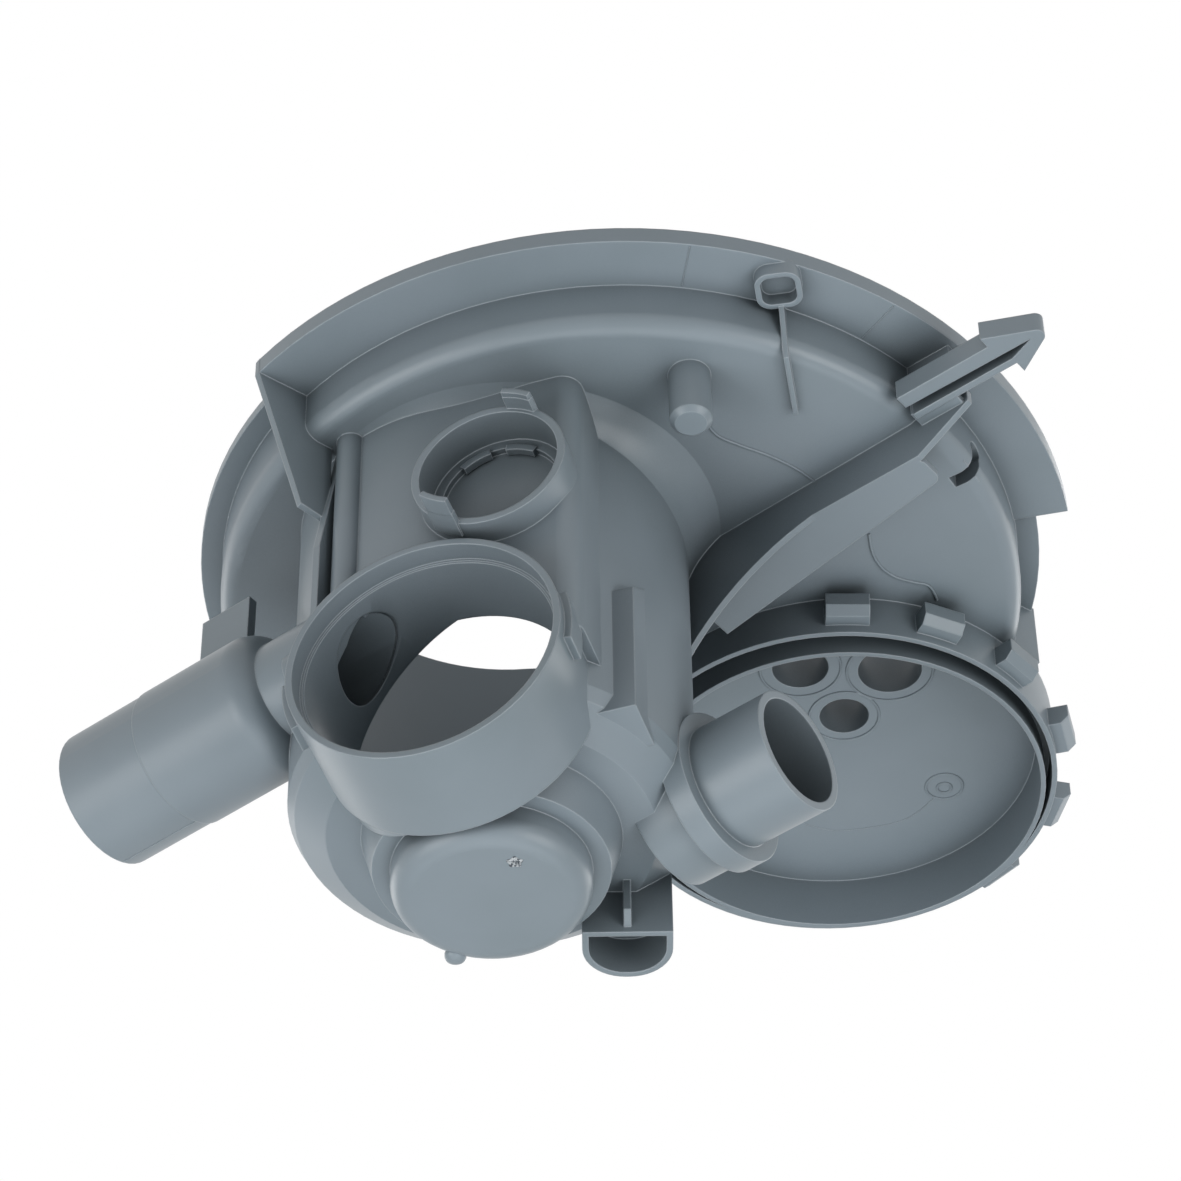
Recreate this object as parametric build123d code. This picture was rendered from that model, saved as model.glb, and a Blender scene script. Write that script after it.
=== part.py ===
from build123d import *
import math
import os

# A one-piece injection-moulded dishwasher sump, in millimetres.
# +Z points up into the tub, and the origin is the centre of the sealing flange's top face.
# +X is the way the pressure stub points, and the suction tube points along -X.

# Flange and bowl
WALL = 2.5
BOWL_R = 118.5
FLANGE_OUT = 6.5
FLANGE_R = BOWL_R + FLANGE_OUT
FLANGE_T = 3.0
BOWL_DEPTH = 22.0
DISH_FALL = 3.0
BOWL_CORNER = 5.0

# Collar that widens the flange over a sector, with a web under its left end
COLLAR_OUT = 16.1
COLLAR_R = BOWL_R + COLLAR_OUT
COLLAR_H = 5.6
COLLAR_START = -102.0
COLLAR_SWEEP = 128.0
COLLAR_WEB_T = 2.0
COLLAR_WEB_TURN = 74.0
COLLAR_WEB_BEND = 16.2
COLLAR_WEB_BEND_Z = -49.5
COLLAR_WEB_LENGTH = 25.5
COLLAR_WEB_END_Z = -51.2

# Filter pot, its flared neck and its stepped foot
POT_X = -7.4
POT_Y = -50.0
POT_R = 56.0
FLARE = 16.0
FLARE_TURN = 30.0
FLARE_FOOT_Z = -40.0
SHOULDER_Z = -128.6
SHOULDER_ROUND = 4.0
STEP_R = 45.2
STEP_Z = -137.4
CONE_TOP_R = 35.6
CONE_FOOT_R = 32.5
CONE_Z = -149.0
DOME_R = 27.4
DOME_Z = -160.0
DOME_ROUND = 6.0

# Side sockets, which share one direction in plan
SOCKET_TURN = -69.4
PUMP_Z = -122.2
PUMP_SIDE = 1.5
PUMP_R = 38.7
PUMP_WALL = 2.8
PUMP_PROUD = 6.6
PUMP_LENGTH = 32.0
PUMP_SEAT = 0.8
PUMP_SEAT_DEPTH = 6.0
PUMP_LUG_TURNS = (4.0, 191.0)
SENSOR_Z = -60.0
SENSOR_SIDE = 20.0
SENSOR_R = 22.2
SENSOR_WALL = 2.2
SENSOR_PROUD = 8.0
SENSOR_DEPTH = 15.0
SENSOR_FLOOR = 2.0
SENSOR_LEDGE = 3.0
SENSOR_LEDGE_DEPTH = 11.0
SENSOR_HOOK_TURNS = (63.0, 236.0)
BLOCK_SIDE = 43.0
BLOCK_FOOT_Z = -118.0
BLOCK_ROUND = 6.0
BUTTRESS_SIDE = 51.5
BUTTRESS_OUT = 33.0
BUTTRESS_TOP_Z = -74.0
BUTTRESS_SLOPE = 14.0
BUTTRESS_FOOT_Z = -132.0
PUMP_LUG_T = 3.5
HOOK_T = 1.8
HOOK_AHEAD = 4.5
BAYONET_ARC = 24.0
BAYONET_LENGTH = 9.0

# Suction tube with its narrow neck and its fin
TUBE_R = 20.4
TUBE_WALL = 2.6
TUBE_Y = -92.4
TUBE_Z = -91.7
TUBE_END_X = -114.0
TUBE_LENGTH = 70.0
TUBE_ROUND = 9.0
HOSE_SEAT = 28.0
HOSE_STOP = 0.4
NECK_R = 15.5
FIN_T = 3.0
FIN_H = 27.0
FIN_LENGTH = 18.0
FIN_END_X = -62.0

# Pressure stub
STUB_R = 18.0
STUB_WALL = 2.4
STUB_Y = -15.0
STUB_Z = -125.0
STUB_END_X = 71.0
STUB_LENGTH = 30.5
STUB_BASE_R = 22.5
STUB_BASE_T = 7.0
STUB_ROOT_R = 20.0
STUB_ROOT_X = 27.0

# Diverter chamber, open downwards: an outer ring, and an inner wall that leans on its far side
CHAMBER_X = 16.5
CHAMBER_Y = 84.2
CHAMBER_R = 66.6
CHAMBER_RIM_Z = -37.0
CHAMBER_DEPTH = 18.0
LIP_WALL = 1.6
INNER_X = 15.0
INNER_Y = 88.2
INNER_R = 60.6
INNER_WALL = 1.5
GROOVE_DEPTH = 9.0
CHAMBER_LUG_TURNS = (-51.0, -27.5, -3.3, 24.0, 52.0, 80.0)
CHAMBER_LUG_W = 13.0
CHAMBER_LUG_OUT = 6.0
CHAMBER_LUG_H = 7.0
CHAMBER_LUG_LIFT = 3.0
CHAMBER_LUG_BEVEL = 2.5
OUTLET_A = (25.7, 76.8, 7.5)
OUTLET_B = (48.3, 69.2, 9.6)
OUTLET_C = (27.9, 51.5, 8.5)
OUTLET_WALL = 1.8
OUTLET_TOP_Z = 0.0

# Half-round tube under the pot's shoulder, with a web on its flat wall
DRAIN_X = 7.6
DRAIN_Y = -9.7
DRAIN_TURN = 128.0
DRAIN_W = 25.0
DRAIN_DEPTH = 19.0
DRAIN_ROUND = 12.0
DRAIN_WALL = 1.8
DRAIN_FOOT_Z = -152.0
DRAIN_WEB = 5.0
DRAIN_WEB_T = 2.0
DRAIN_WEB_FOOT_Z = -148.0

# Cable channel on the right: a rib with a level strip along its foot
RIB_T = 2.0
RIB_Y = -10.7
RIB_START_X = 30.0
RIB_END_X = BOWL_R - 3.5
RIB_ROOT_X = BOWL_R + 14.5
RIB_FOOT_Z = -36.0
RIB_GUSSET_X = 78.0
RIB_GUSSET_FOOT_Z = -66.0
RIB_GUSSET_SAG = 4.0
STRIP_W = 10.5
STRIP_SPREAD = 12.0
STRIP_ROUND = 3.0

# Arm under the collar and its snap lug
ARM_Y = -17.0
ARM_FOOT_Z = -25.0
ARM_SHORT = 1.5
LUG_BASE_X = BOWL_R - 0.5
LUG_NECK_X = LUG_BASE_X + 31.0
LUG_LOW_NECK_X = LUG_BASE_X + 34.0
LUG_TIP_X = LUG_BASE_X + 49.0
LUG_TIP_ROUND = 2.5
LUG_Y = -20.0
LUG_FOOT_Z = -25.6
LUG_HALF = 5.0
LUG_BARB = 3.8
LUG_RIM = 2.2
LUG_SLOT = 3.4
LUG_FLOOR = 2.0
LUG_H = 7.0

# Pin and hollow boss beside the channel
PIN_X = 76.4
PIN_Y = -66.2
PIN_R = 6.0
PIN_FOOT_Z = -42.0
BOSS_TURN = -31.56
BOSS_OUT = 8.95
BOSS_W = 13.0
BOSS_WALL = 1.6
BOSS_FOOT_Z = -10.0
BOSS_RIB_TURN = 119.5
BOSS_RIB_LENGTH = 34.0
BOSS_RIB_BEND = 12.0
BOSS_RIB_PROUD = 2.5
BOSS_RIB_T = 1.5
BOSS_RIB_SLANT = 0.875

# Half-round pillar and tapering fin on the pot
PILLAR_TURN = -97.0
PILLAR_R = 4.2
PILLAR_FOOT_Z = -90.0
POT_FIN_X = -20.0
POT_FIN_OUT = 6.0
POT_FIN_BEND_Z = -65.0
POT_FIN_T = 2.5

# Blind keyhole in the bowl's corner, and a gusset under the flange beside the chamber
KEYHOLE_TURN = 7.5
KEYHOLE_R = 2.8
KEYHOLE_W = 4.4
KEYHOLE_DEPTH = 9.0
KEYHOLE_Z = -13.0
GUSSET_AT = 43.95
GUSSET_TURN = 72.0
GUSSET_LENGTH = 10.6
GUSSET_T = 2.0
GUSSET_LOW_Z = -24.0

# Cuts run this far past the faces that they open
PAST = 1.0


def ray(turn):
    """Unit vector in plan at an angle from +X."""
    angle = math.radians(turn)
    return Vector(math.cos(angle), math.sin(angle), 0)


def drum(x, y, top, foot, radius):
    """Upright cylinder between two heights."""
    base = Cylinder(radius, top - foot, align=(Align.CENTER, Align.CENTER, Align.MIN))
    return Pos(x, y, foot) * base


def side_drum(mouth, turn, radius, depth):
    """Level cylinder that runs back from a mouth facing a plan angle."""
    plane = Plane(origin=mouth, x_dir=ray(turn + 90), z_dir=ray(turn))
    return plane * Cylinder(radius, depth, align=(Align.CENTER, Align.CENTER, Align.MAX))


def turned(points):
    """Solid of revolution about Z from radius and height pairs."""
    face = make_face(Polyline(*[(r, 0, z) for r, z in points], close=True))
    return revolve(face, Axis.Z)


def upright_plate(start, turn, thickness, outline):
    """Vertical plate through a plan point: the outline is in length along the turn and height."""
    across = ray(turn + 90)
    origin = (start[0] + across.X * thickness / 2, start[1] + across.Y * thickness / 2, 0)
    plane = Plane(origin=origin, x_dir=ray(turn), z_dir=-across)
    return extrude(plane * make_face(Polyline(*outline, close=True)), thickness)


def dish_z(radius):
    """Height of the dish's underside at a radius."""
    return -BOWL_DEPTH - DISH_FALL * (1 - radius / BOWL_R)


def bowl_outside():
    """Flange disc on a bowl whose lower corner is an arc."""
    disc = drum(0, 0, 0, -FLANGE_T, FLANGE_R)
    high = (BOWL_R, 0, -BOWL_DEPTH + BOWL_CORNER)
    bend = math.radians(45)
    on_arc = (BOWL_R - BOWL_CORNER * (1 - math.cos(bend)), 0, high[2] - BOWL_CORNER * math.sin(bend))
    low = (BOWL_R - BOWL_CORNER, 0, -BOWL_DEPTH)
    sides = Polyline(low, (0, 0, -BOWL_DEPTH - DISH_FALL), (0, 0, 0), (BOWL_R, 0, 0), high)
    return disc + revolve(make_face(sides + ThreePointArc(high, on_arc, low)), Axis.Z)


def bowl_inside():
    radius = BOWL_R - WALL
    foot = -BOWL_DEPTH + WALL
    corner = BOWL_CORNER - WALL
    outline = [(0, PAST), (radius, PAST), (radius, foot + corner), (radius - corner, foot),
               (0, foot - DISH_FALL)]
    return turned(outline)


def collar():
    """Open channel round part of the flange."""
    inner = BOWL_R - WALL / 2
    lip = COLLAR_R - WALL
    floor = -COLLAR_H + WALL
    outline = [(inner, -COLLAR_H), (COLLAR_R, -COLLAR_H), (COLLAR_R, 0), (lip, 0), (lip, floor),
               (inner, floor)]
    face = make_face(Polyline(*[(r, 0, z) for r, z in outline], close=True))
    return Rot(0, 0, COLLAR_START) * revolve(face, Axis.Z, COLLAR_SWEEP)


def collar_web():
    """Deep plate that closes the collar's left end and ties it to the pot's fin."""
    out = ray(COLLAR_START) * COLLAR_R
    outline = [(0, 0), (0, -COLLAR_H), (COLLAR_WEB_BEND, COLLAR_WEB_BEND_Z),
               (COLLAR_WEB_LENGTH, COLLAR_WEB_END_Z), (COLLAR_WEB_LENGTH, -BOWL_DEPTH), (COLLAR_WEB_BEND, 0)]
    return upright_plate((out.X, out.Y), COLLAR_WEB_TURN, COLLAR_WEB_T, outline)


def flare(offset):
    """Concave neck between dish and pot, set off the pot's axis so that it fades out on one side."""
    foot = POT_R - FLARE / 2 - PAST / 2
    tall = -BOWL_DEPTH - FLARE_FOOT_Z
    bend = (FLARE ** 2 + tall ** 2) / (2 * FLARE)
    turn = math.asin(tall / bend)

    def on_arc(share):
        radius = bend + offset
        angle = turn * share
        return (foot + bend - radius * math.cos(angle), 0, FLARE_FOOT_Z + radius * math.sin(angle))

    start, end = on_arc(0), on_arc(1)
    sides = Polyline(end, (0, 0, end[2]), (0, 0, FLARE_FOOT_Z), start)
    if offset:
        neck = sides + Polyline(start, on_arc(1 / 3), on_arc(2 / 3), end)
    else:
        neck = sides + ThreePointArc(start, on_arc(1 / 2), end)
    shift = ray(FLARE_TURN) * (FLARE / 2)
    return Pos(POT_X + shift.X, POT_Y + shift.Y, 0) * revolve(make_face(neck), Axis.Z)


def pot(offset):
    """Pot with a coned, stepped foot; the offset gives its inside."""
    wall = POT_R - offset
    top = -BOWL_DEPTH + WALL
    ease = SHOULDER_ROUND / 2
    shoulder = SHOULDER_Z + offset
    outline = [(0, top), (wall, top), (wall, shoulder + ease), (wall - ease, shoulder - ease),
               (STEP_R - offset, STEP_Z + offset), (CONE_TOP_R - offset, STEP_Z + offset),
               (CONE_FOOT_R - offset, CONE_Z + offset), (DOME_R - offset, CONE_Z + offset),
               (DOME_R - offset, DOME_Z + offset), (0, DOME_Z + offset)]
    solid = turned(outline)
    foot = solid.edges().filter_by(GeomType.CIRCLE).sort_by(Axis.Z)[0]
    solid = chamfer(foot, DOME_ROUND - offset) if offset else fillet(foot, DOME_ROUND)
    return Pos(POT_X, POT_Y, 0) * solid


def socket_mouth(side, proud, z):
    """Point on a socket's mouth, measured from the pot's axis."""
    out = ray(SOCKET_TURN) * (POT_R + proud)
    across = ray(SOCKET_TURN + 90) * side
    return (POT_X + out.X + across.X, POT_Y + out.Y + across.Y, z)


def sensor_block(offset):
    """Flat-faced block beside the pot that carries the sensor socket."""
    side = BLOCK_SIDE - offset
    top = -BOWL_DEPTH + WALL
    tall = top - BLOCK_FOOT_Z - offset
    box = Box(side, POT_R - offset, tall, align=(Align.MIN, Align.MIN, Align.MIN))
    corner = box.edges().filter_by(Axis.Z).sort_by(Axis.X)[-2:].sort_by(Axis.Y)[-1]
    box = fillet(corner, BLOCK_ROUND - offset)
    across = ray(SOCKET_TURN + 90)
    frame = Plane(origin=(POT_X, POT_Y, BLOCK_FOOT_Z + offset), x_dir=across, z_dir=(0, 0, 1))
    return frame * Rot(180, 0, 0) * Pos(0, 0, -tall) * box


def buttress():
    """Upright corner beside the pump socket, with a sloped top."""
    width = BUTTRESS_SIDE - BLOCK_SIDE + BLOCK_ROUND
    across = ray(SOCKET_TURN + 90) * (BUTTRESS_SIDE - width / 2)
    root = BUTTRESS_OUT / 2
    sloped = BUTTRESS_TOP_Z - BUTTRESS_SLOPE
    outline = [(root, BUTTRESS_FOOT_Z), (BUTTRESS_OUT, BUTTRESS_FOOT_Z), (BUTTRESS_OUT, sloped),
               (root, BUTTRESS_TOP_Z)]
    return upright_plate((POT_X + across.X, POT_Y + across.Y), SOCKET_TURN, width, outline)


def arc_lug(mouth, turn, radius, thick, ahead):
    """Bayonet lug outside a socket: a short arc that can stand ahead of the rim."""
    outline = [(radius, 0), (radius + thick, 0), (radius + thick, BAYONET_LENGTH), (radius, BAYONET_LENGTH)]
    face = make_face(Polyline(*[(r, 0, z) for r, z in outline], close=True))
    ring = revolve(face, Axis.Z, BAYONET_ARC)
    plane = Plane(origin=mouth, x_dir=ray(SOCKET_TURN + 90), z_dir=ray(SOCKET_TURN))
    return plane * Rot(0, 0, turn - BAYONET_ARC / 2) * Pos(0, 0, ahead - BAYONET_LENGTH) * ring


def suction_tube():
    """Hose seat with a small stop behind it, rounded body, narrow neck and fin."""
    plain = TUBE_END_X + TUBE_LENGTH
    seat = side_drum((TUBE_END_X, TUBE_Y, TUBE_Z), 180, TUBE_R, TUBE_LENGTH / 2)
    stop = (TUBE_END_X + HOSE_SEAT, TUBE_Y, TUBE_Z)
    body = side_drum(stop, 180, TUBE_R + HOSE_STOP, TUBE_LENGTH - HOSE_SEAT)
    end = body.edges().filter_by(GeomType.CIRCLE).sort_by(Axis.X)[-1]
    body = fillet(end, TUBE_ROUND)
    neck = side_drum((plain - PAST, TUBE_Y, TUBE_Z), 180, NECK_R, POT_X - plain)
    fin_top = TUBE_Z + TUBE_R + FIN_H
    outline = [(-FIN_LENGTH, TUBE_Z), (0, TUBE_Z), (0, fin_top), (-FIN_LENGTH, fin_top)]
    fin = upright_plate((FIN_END_X, TUBE_Y), 0, FIN_T, outline)
    return seat + body + neck + fin


def suction_bore():
    plain = TUBE_LENGTH - TUBE_ROUND
    mouth = (TUBE_END_X - PAST, TUBE_Y, TUBE_Z)
    wide = side_drum(mouth, 180, TUBE_R - TUBE_WALL, plain + PAST)
    return wide + side_drum(mouth, 180, NECK_R - TUBE_WALL, POT_X - TUBE_END_X)


def pressure_stub():
    """Spigot on a thick ring, with a stouter root behind the ring."""
    base_x = STUB_END_X - STUB_LENGTH
    tube = side_drum((STUB_END_X, STUB_Y, STUB_Z), 0, STUB_R, STUB_LENGTH)
    base = side_drum((base_x + STUB_BASE_T, STUB_Y, STUB_Z), 0, STUB_BASE_R, STUB_BASE_T)
    root_x = base_x + STUB_BASE_T / 2
    root = side_drum((root_x, STUB_Y, STUB_Z), 0, STUB_ROOT_R, root_x - STUB_ROOT_X)
    return tube + base + root


def chamber_outside():
    """Roofed ring with bevelled lugs round its near side, and the outlets' chimneys on its roof."""
    ceiling = CHAMBER_RIM_Z + CHAMBER_DEPTH
    body = drum(CHAMBER_X, CHAMBER_Y, ceiling + WALL, CHAMBER_RIM_Z, CHAMBER_R)
    reach = CHAMBER_R + CHAMBER_LUG_OUT
    foot = CHAMBER_RIM_Z + CHAMBER_LUG_LIFT
    root = CHAMBER_R - LIP_WALL
    outline = [(root, foot), (reach - CHAMBER_LUG_BEVEL, foot), (reach, foot + CHAMBER_LUG_BEVEL),
               (reach, foot + CHAMBER_LUG_H), (root, foot + CHAMBER_LUG_H)]
    for turn in CHAMBER_LUG_TURNS:
        body += upright_plate((CHAMBER_X, CHAMBER_Y), turn, CHAMBER_LUG_W, outline)
    for x, y, r in (OUTLET_A, OUTLET_B, OUTLET_C):
        body += drum(x, y, OUTLET_TOP_Z, ceiling, r + OUTLET_WALL)
    return body


def chamber_inside():
    """The chamber's hollow, the crescent gap between its two rims, and the outlets."""
    ceiling = CHAMBER_RIM_Z + CHAMBER_DEPTH
    below = CHAMBER_RIM_Z - PAST
    hollow = drum(INNER_X, INNER_Y, ceiling, below, INNER_R)
    gap = drum(CHAMBER_X, CHAMBER_Y, CHAMBER_RIM_Z + GROOVE_DEPTH, below, CHAMBER_R - LIP_WALL)
    gap -= drum(INNER_X, INNER_Y, CHAMBER_RIM_Z + GROOVE_DEPTH, below, INNER_R + INNER_WALL)
    cuts = [hollow, gap]
    for x, y, r in (OUTLET_A, OUTLET_B, OUTLET_C):
        cuts.append(drum(x, y, OUTLET_TOP_Z + PAST, CHAMBER_RIM_Z, r))
    return cuts


def drain_tube():
    """Half-round tube, its flat wall towards the pot's axis, with a web on that wall."""
    outside = Pos(0, DRAIN_DEPTH / 2) * Rectangle(DRAIN_W, DRAIN_DEPTH)
    outside = fillet(outside.vertices().sort_by(Axis.Y)[-2:], DRAIN_ROUND)
    inside = offset(outside, -DRAIN_WALL)
    place = Pos(DRAIN_X, DRAIN_Y, DRAIN_FOOT_Z) * Rot(0, 0, DRAIN_TURN - 90)
    tube = place * extrude(outside, SHOULDER_Z + WALL / 2 - DRAIN_FOOT_Z)
    bore = place * Pos(0, 0, -PAST) * extrude(inside, STEP_Z - WALL - DRAIN_FOOT_Z + PAST)
    root = -DRAIN_WALL / 2
    top = STEP_Z + WALL / 2
    outline = [(root, DRAIN_WEB_FOOT_Z - DRAIN_WEB / 2), (DRAIN_WEB, DRAIN_WEB_FOOT_Z), (DRAIN_WEB, top),
               (root, top)]
    web = upright_plate((DRAIN_X, DRAIN_Y), DRAIN_TURN + 180, DRAIN_WEB_T, outline)
    return tube + web, bore


def cable_channel():
    """Rib with a slanted end, a curved gusset at the pot and a level strip that widens towards it."""
    top = dish_z(BOWL_R) + WALL / 2
    outline = [(RIB_START_X, top), (RIB_START_X, RIB_FOOT_Z), (RIB_END_X, RIB_FOOT_Z),
               (RIB_ROOT_X, ARM_FOOT_Z), (RIB_ROOT_X, top)]
    rib = upright_plate((0, RIB_Y), 0, RIB_T, outline)
    low, high = (RIB_START_X, RIB_GUSSET_FOOT_Z), (RIB_GUSSET_X, RIB_FOOT_Z)
    middle = ((low[0] + high[0]) / 2 - RIB_GUSSET_SAG, (low[1] + high[1]) / 2 + RIB_GUSSET_SAG)
    sides = Polyline(high, (RIB_GUSSET_X, RIB_FOOT_Z + RIB_T), (RIB_START_X, RIB_FOOT_Z + RIB_T), low)
    face = make_face(sides + ThreePointArc(low, middle, high))
    plane = Plane(origin=(0, RIB_Y + RIB_T / 2, 0), x_dir=(1, 0, 0), z_dir=(0, -1, 0))
    rib += extrude(plane * face, RIB_T)
    back = RIB_Y + STRIP_W
    strip = make_face(Polyline((RIB_START_X, RIB_Y), (RIB_END_X, RIB_Y), (RIB_END_X, back),
                               (RIB_START_X, back + STRIP_SPREAD), close=True))
    ends = strip.vertices().sort_by(Axis.X)[-2:]
    strip = fillet(ends, STRIP_ROUND)
    return rib + Pos(0, 0, RIB_FOOT_Z) * extrude(strip, RIB_T)


def arm_and_lug():
    """Arm that carries the channel past the bowl, and the arrow-shaped snap lug on it."""
    inner = BOWL_R - WALL / 2
    width = RIB_Y - ARM_Y
    length = RIB_ROOT_X - ARM_SHORT - inner
    corner = (Align.MIN, Align.MIN, Align.MIN)
    floor = Pos(inner, ARM_Y, ARM_FOOT_Z) * Box(length, width, RIB_T, align=corner)
    tall = -COLLAR_H - ARM_FOOT_Z + WALL / 2
    side = Pos(inner, ARM_Y, ARM_FOOT_Z) * Box(length, RIB_T, tall, align=corner)
    head = LUG_HALF + LUG_BARB
    arrow = make_face(Polyline((LUG_BASE_X, LUG_HALF), (LUG_LOW_NECK_X, LUG_HALF), (LUG_LOW_NECK_X, head),
                               (LUG_TIP_X, 0), (LUG_NECK_X, -head), (LUG_NECK_X, -LUG_HALF),
                               (LUG_BASE_X, -LUG_HALF), close=True))
    arrow = fillet(arrow.vertices().sort_by(Axis.X)[-1], LUG_TIP_ROUND)
    rim = LUG_HALF - LUG_RIM
    slot = make_face(Polyline((LUG_BASE_X - PAST, rim), (LUG_LOW_NECK_X, rim), (LUG_TIP_X - LUG_H, 0),
                              (LUG_BASE_X - PAST, rim - LUG_SLOT), close=True))
    lug = Pos(0, LUG_Y, LUG_FOOT_Z) * (extrude(arrow, LUG_H) - extrude(slot, LUG_H - LUG_FLOOR))
    return floor + side + lug


def pin():
    body = drum(PIN_X, PIN_Y, dish_z(BOWL_R), PIN_FOOT_Z, PIN_R)
    tip = body.edges().filter_by(GeomType.CIRCLE).sort_by(Axis.Z)[0]
    return chamfer(tip, PIN_R / 4)


def hollow_boss():
    middle = ray(BOSS_TURN) * (BOWL_R + BOSS_OUT)
    place = Pos(middle.X, middle.Y, BOSS_FOOT_Z) * Rot(0, 0, BOSS_RIB_TURN - 90)
    tall = -COLLAR_H - BOSS_FOOT_Z
    outside = RectangleRounded(BOSS_W, BOSS_W, BOSS_W / 3)
    inside = offset(outside, -BOSS_WALL)
    body = place * (extrude(outside, tall + WALL / 2) - extrude(inside, tall))
    start = BOSS_W / 2 - BOSS_WALL / 2
    wall = BOSS_OUT / BOSS_RIB_SLANT + WALL / 3
    sunk = dish_z(BOWL_R) + WALL / 2
    proud = dish_z(BOWL_R) - BOSS_RIB_PROUD
    outline = [(start, -COLLAR_H + WALL / 2), (start, BOSS_FOOT_Z), (BOSS_RIB_BEND, proud),
               (BOSS_RIB_LENGTH, proud), (BOSS_RIB_LENGTH, sunk), (wall + WALL, sunk),
               (wall, sunk + BOWL_CORNER / 2), (wall, -COLLAR_H + WALL / 2)]
    return body + upright_plate((middle.X, middle.Y), BOSS_RIB_TURN, BOSS_RIB_T, outline)


def pillar_and_fin():
    out = ray(PILLAR_TURN) * POT_R
    pillar = drum(POT_X + out.X, POT_Y + out.Y, -BOWL_DEPTH, PILLAR_FOOT_Z, PILLAR_R)
    wall = POT_R - math.sqrt(POT_R ** 2 - (POT_FIN_X - POT_X) ** 2)
    root = -wall - WALL / 2
    outline = [(root, -BOWL_DEPTH), (-wall, -BOWL_DEPTH), (POT_FIN_OUT, POT_FIN_BEND_Z),
               (POT_FIN_OUT, TUBE_Z), (root, TUBE_Z)]
    fin = upright_plate((POT_FIN_X, POT_Y - POT_R), -90, POT_FIN_T, outline)
    return pillar + fin


def keyhole(grow):
    """Eye in the bowl's wall with a slot below it, cut from outside; grown, it is the boss behind it."""
    out = ray(KEYHOLE_TURN) * (BOWL_R + PAST - grow)
    eye = side_drum((out.X, out.Y, KEYHOLE_Z), KEYHOLE_TURN, KEYHOLE_R + grow, KEYHOLE_DEPTH)
    tall = BOWL_DEPTH + KEYHOLE_Z + (PAST if grow == 0 else -PAST)
    slot = Box(KEYHOLE_DEPTH, KEYHOLE_W + 2 * grow, tall, align=(Align.MAX, Align.CENTER, Align.MAX))
    return eye + Pos(out.X, out.Y, KEYHOLE_Z) * Rot(0, 0, KEYHOLE_TURN) * slot


def flange_gusset():
    level = -FLANGE_T / 2
    outline = [(0, level), (GUSSET_LENGTH, level), (GUSSET_LENGTH, GUSSET_LOW_Z), (0, GUSSET_LOW_Z)]
    root = ray(GUSSET_AT) * (BOWL_R - WALL)
    return upright_plate((root.X, root.Y), GUSSET_TURN, GUSSET_T, outline)


def sump():
    pump = socket_mouth(PUMP_SIDE, PUMP_PROUD, PUMP_Z)
    pump_bore = PUMP_R - PUMP_WALL
    sensor = socket_mouth(SENSOR_SIDE, SENSOR_PROUD, SENSOR_Z)
    sensor_bore = SENSOR_R - SENSOR_WALL
    drain, drain_bore = drain_tube()
    body = bowl_outside() + collar() + pot(0) + flare(0) + sensor_block(0)
    body += buttress() + drain
    body += side_drum(pump, SOCKET_TURN, PUMP_R, PUMP_LENGTH)
    body += suction_tube() + pressure_stub()
    body += collar_web() + cable_channel() + arm_and_lug() + pin() + hollow_boss()
    body += pillar_and_fin() + flange_gusset()
    body -= bowl_inside()
    body += keyhole(WALL)
    body -= keyhole(0)
    body -= pot(WALL)
    body -= flare(WALL)
    body -= sensor_block(WALL)
    body -= side_drum(pump, SOCKET_TURN, pump_bore, PUMP_LENGTH - WALL)
    body -= side_drum(pump, SOCKET_TURN, pump_bore + PUMP_SEAT, PUMP_SEAT_DEPTH)
    body += side_drum(sensor, SOCKET_TURN, SENSOR_R, SENSOR_DEPTH)
    body -= side_drum(sensor, SOCKET_TURN, sensor_bore, SENSOR_LEDGE_DEPTH)
    body -= side_drum(sensor, SOCKET_TURN, sensor_bore - SENSOR_LEDGE, SENSOR_DEPTH - SENSOR_FLOOR)
    body -= suction_bore()
    body -= side_drum((STUB_END_X, STUB_Y, STUB_Z), 0, STUB_R - STUB_WALL, STUB_END_X - STUB_ROOT_X - WALL)
    body -= drain_bore
    body += chamber_outside()
    for cut in chamber_inside():
        body -= cut
    for turn in PUMP_LUG_TURNS:
        body += arc_lug(pump, turn, PUMP_R - PUMP_WALL / 2, PUMP_LUG_T, -PUMP_LUG_T)
    for turn in SENSOR_HOOK_TURNS:
        body += arc_lug(sensor, turn, SENSOR_R - SENSOR_WALL / 2, HOOK_T, HOOK_AHEAD)
    return body


os.makedirs("parts", exist_ok=True)
solid = sump()
export_step(solid, "parts/sump_body.step")
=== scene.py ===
import bmesh
import bpy
import math
from mathutils import Matrix, Vector


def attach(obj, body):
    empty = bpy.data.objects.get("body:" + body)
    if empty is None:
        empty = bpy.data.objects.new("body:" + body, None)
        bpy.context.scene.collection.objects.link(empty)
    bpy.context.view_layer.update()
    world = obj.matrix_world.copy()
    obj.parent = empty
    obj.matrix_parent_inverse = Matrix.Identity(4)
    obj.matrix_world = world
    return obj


# Dressed dishwasher sump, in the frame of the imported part.
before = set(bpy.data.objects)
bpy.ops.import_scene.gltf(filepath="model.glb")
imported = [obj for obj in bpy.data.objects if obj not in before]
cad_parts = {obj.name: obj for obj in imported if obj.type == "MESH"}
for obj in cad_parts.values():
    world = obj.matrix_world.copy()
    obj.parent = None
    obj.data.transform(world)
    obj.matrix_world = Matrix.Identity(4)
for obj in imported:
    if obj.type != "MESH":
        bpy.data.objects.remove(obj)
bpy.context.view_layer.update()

# Sizes on the part are in millimetres, and become metres where a mesh or a finish is made.
MM = 0.001

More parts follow.
